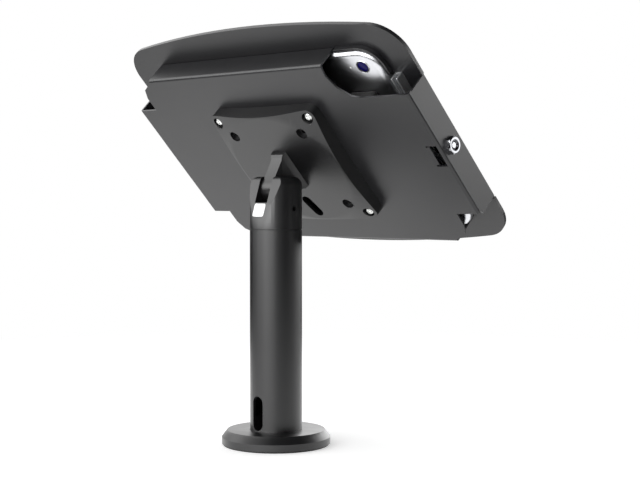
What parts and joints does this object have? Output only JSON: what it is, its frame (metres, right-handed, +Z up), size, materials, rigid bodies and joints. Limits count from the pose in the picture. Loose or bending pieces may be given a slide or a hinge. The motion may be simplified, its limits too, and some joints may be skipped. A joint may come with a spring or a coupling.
{
  "type": "tablet security kiosk stand",
  "caption": "Counter-top pole stand with a swivel and tilt head that carries a key-locked steel enclosure for a tablet.",
  "frame": {"origin": "middle of the base's underside, on the axis of the pole", "axes": "+Z up the pole, the screen faces -Y and up, the lock is on the -X side"},
  "size_m": [0.3025, 0.1656, 0.327],
  "materials": {
    "powder_coat": "satin charcoal powder coat",
    "rubber_pad": "matte",
    "zinc_steel": "bright zinc plate",
    "plain_steel": "turned steel",
    "black_steel": "black oxide",
    "black_nylon": "matte",
    "blank_label": "plain label",
    "black_foam": "closed-cell foam",
    "lock_chrome": "bright chrome",
    "tablet_aluminium": "bead-blasted and anodised",
    "tablet_glass": "black display glass",
    "camera_lens": "coated lens glass"
  },
  "bodies": {
    "column": {"base_flange": "powder_coat", "base_pad": "rubber_pad", "base_screws": "zinc_steel", "pole_foot_plug": "black_steel", "pole_tube": "powder_coat", "pole_head_plug": "plain_steel", "swivel_thrust_washer": "black_nylon"},
    "head": {"swivel_head": "powder_coat", "swivel_bolt": "plain_steel", "swivel_flat_washer": "zinc_steel", "swivel_spring_washers": "plain_steel", "swivel_stop_pin": "plain_steel", "swivel_lock_screw": "black_steel", "tilt_bolt": "plain_steel", "tilt_friction_washers": "black_nylon", "head_label": "blank_label"},
    "enclosure": {"tilt_arm": "powder_coat", "arm_screws": "zinc_steel", "vesa_plate": "powder_coat", "vesa_screws": "zinc_steel", "tray_clinch_nuts": "zinc_steel", "rear_tray": "powder_coat", "tray_foam_pads": "black_foam", "lock_barrel": "lock_chrome", "lock_nut": "zinc_steel"},
    "lock": {"lock_plug": "lock_chrome", "lock_cam": "zinc_steel", "lock_cam_screw": "zinc_steel"},
    "front": {"front_frame": "powder_coat", "frame_hooks": "powder_coat", "lock_channel": "zinc_steel", "frame_gasket": "rubber_pad", "tablet_body": "tablet_aluminium", "tablet_glass": "tablet_glass", "tablet_camera_ring": "tablet_aluminium", "tablet_lens": "camera_lens"}
  },
  "joints": [
    {"name": "swivel", "type": "hinge", "parent": "column", "child": "head", "pos_m": [0, 0, 0.1712], "axis": [0, 0, 1], "range_deg": [-160, 160]},
    {"name": "tilt", "type": "hinge", "parent": "head", "child": "enclosure", "pos_m": [0, 0, 0.203], "axis": [1, 0, 0], "range_deg": [-45.7, 39.3]},
    {"name": "lock_turn", "type": "hinge", "parent": "enclosure", "child": "lock", "pos_m": [-0.149, -0.03412, 0.23462], "axis": [-1, 0, 0], "range_deg": [0, 90]},
    {"name": "frame_open", "type": "hinge", "parent": "enclosure", "child": "front", "pos_m": [0.1497, -0.0407, 0.24104], "axis": [0, 0.6984, 0.7157], "range_deg": [0, 95]}
  ]
}
